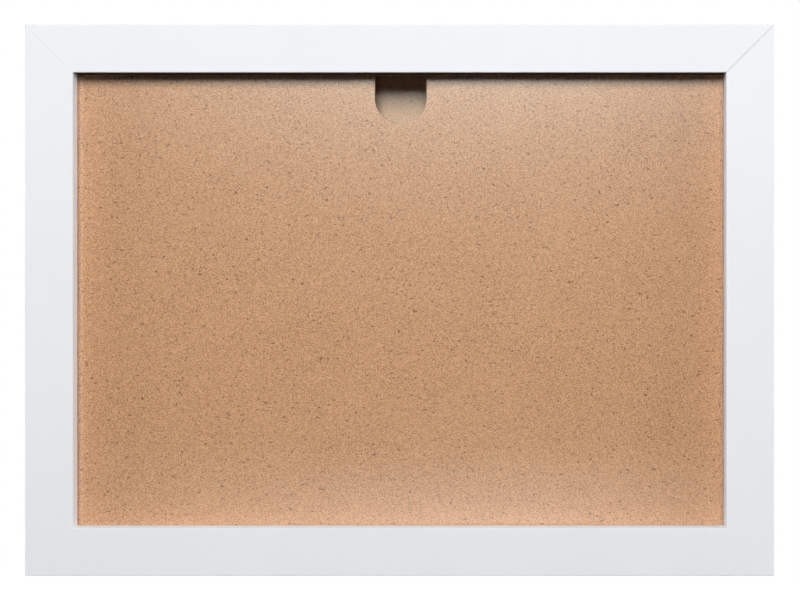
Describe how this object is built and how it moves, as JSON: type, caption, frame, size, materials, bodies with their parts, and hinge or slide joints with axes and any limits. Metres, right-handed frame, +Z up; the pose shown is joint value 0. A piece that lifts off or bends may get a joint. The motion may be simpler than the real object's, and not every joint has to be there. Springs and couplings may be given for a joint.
{
  "type": "children's art frame",
  "caption": "White front-opening picture frame for children's drawings: a hinged mitred door with clear glazing and a notched backing board closes a shallow wall-hung storage box.",
  "frame": {"origin": "centre of the outline on the wall plane, where the bumpers' rear faces touch the wall", "axes": "+X to the viewer's right along the long side, +Y from the front towards the wall, +Z up"},
  "size_m": [0.329, 0.0275, 0.242],
  "materials": {
    "white_paint": "satin white lacquer on fibreboard moulding",
    "fibreboard": "raw medium-density fibreboard, fine brown specks",
    "clear_acrylic": "clear polished sheet",
    "zinc_steel": "zinc plated",
    "brass_plate": "brass plated steel",
    "nickel": "nickel plated magnet",
    "grey_rubber": "soft matt rubber"
  },
  "bodies": {
    "box": {"box_top_wall": "white_paint", "box_bottom_wall": "white_paint", "box_left_wall": "white_paint", "box_right_wall": "white_paint", "back_panel": "fibreboard", "upper_hinge_box_leaf": "brass_plate", "lower_hinge_box_leaf": "brass_plate", "upper_hinge_pin": "zinc_steel", "lower_hinge_pin": "zinc_steel", "upper_hinge_box_screw_1": "brass_plate", "upper_hinge_box_screw_2": "brass_plate", "lower_hinge_box_screw_1": "brass_plate", "lower_hinge_box_screw_2": "brass_plate", "upper_keeper_disc": "zinc_steel", "lower_keeper_disc": "zinc_steel", "landscape_hanger": "zinc_steel", "portrait_hanger": "zinc_steel", "landscape_hanger_rivet_1": "zinc_steel", "landscape_hanger_rivet_2": "zinc_steel", "portrait_hanger_rivet_1": "zinc_steel", "portrait_hanger_rivet_2": "zinc_steel", "bumper_top_right": "grey_rubber", "bumper_bottom_right": "grey_rubber", "bumper_bottom_left": "grey_rubber", "bumper_top_left": "grey_rubber", "panel_pin_upper_left": "zinc_steel", "panel_pin_upper_middle": "zinc_steel", "panel_pin_upper_right": "zinc_steel", "panel_pin_lower_left": "zinc_steel", "panel_pin_lower_middle": "zinc_steel", "panel_pin_lower_right": "zinc_steel", "panel_pin_side_left": "zinc_steel", "panel_pin_side_right": "zinc_steel"},
    "door": {"top_rail": "white_paint", "bottom_rail": "white_paint", "left_rail": "white_paint", "right_rail": "white_paint", "glazing": "clear_acrylic", "backing_board": "fibreboard", "v_nail_top_right": "zinc_steel", "v_nail_bottom_right": "zinc_steel", "v_nail_bottom_left": "zinc_steel", "v_nail_top_left": "zinc_steel", "upper_door_magnet": "nickel", "lower_door_magnet": "nickel", "upper_hinge_door_leaf": "brass_plate", "lower_hinge_door_leaf": "brass_plate", "upper_hinge_door_screw_1": "brass_plate", "upper_hinge_door_screw_2": "brass_plate", "lower_hinge_door_screw_1": "brass_plate", "lower_hinge_door_screw_2": "brass_plate", "turn_button_screw_top_right": "brass_plate", "turn_button_screw_bottom_right": "brass_plate", "turn_button_screw_bottom_left": "brass_plate", "turn_button_screw_top_left": "brass_plate"},
    "turn_button_top_right": {"turn_button_top_right": "brass_plate"},
    "turn_button_bottom_right": {"turn_button_bottom_right": "brass_plate"},
    "turn_button_bottom_left": {"turn_button_bottom_left": "brass_plate"},
    "turn_button_top_left": {"turn_button_top_left": "brass_plate"}
  },
  "joints": [
    {"name": "door_swing", "type": "hinge", "parent": "box", "child": "door", "pos_m": [-0.1603, -0.01575, 0], "axis": [0, 0, -1], "range_deg": [0, 110]},
    {"name": "turn_button_top_right_turn", "type": "hinge", "parent": "door", "child": "turn_button_top_right", "pos_m": [0.0845, -0.0153, 0.1098], "axis": [0, 1, 0], "range_deg": [0, 90]},
    {"name": "turn_button_bottom_right_turn", "type": "hinge", "parent": "door", "child": "turn_button_bottom_right", "pos_m": [0.0845, -0.0153, -0.1098], "axis": [0, -1, 0], "range_deg": [0, 90]},
    {"name": "turn_button_bottom_left_turn", "type": "hinge", "parent": "door", "child": "turn_button_bottom_left", "pos_m": [-0.0845, -0.0153, -0.1098], "axis": [0, 1, 0], "range_deg": [0, 90]},
    {"name": "turn_button_top_left_turn", "type": "hinge", "parent": "door", "child": "turn_button_top_left", "pos_m": [-0.0845, -0.0153, 0.1098], "axis": [0, -1, 0], "range_deg": [0, 90]}
  ]
}
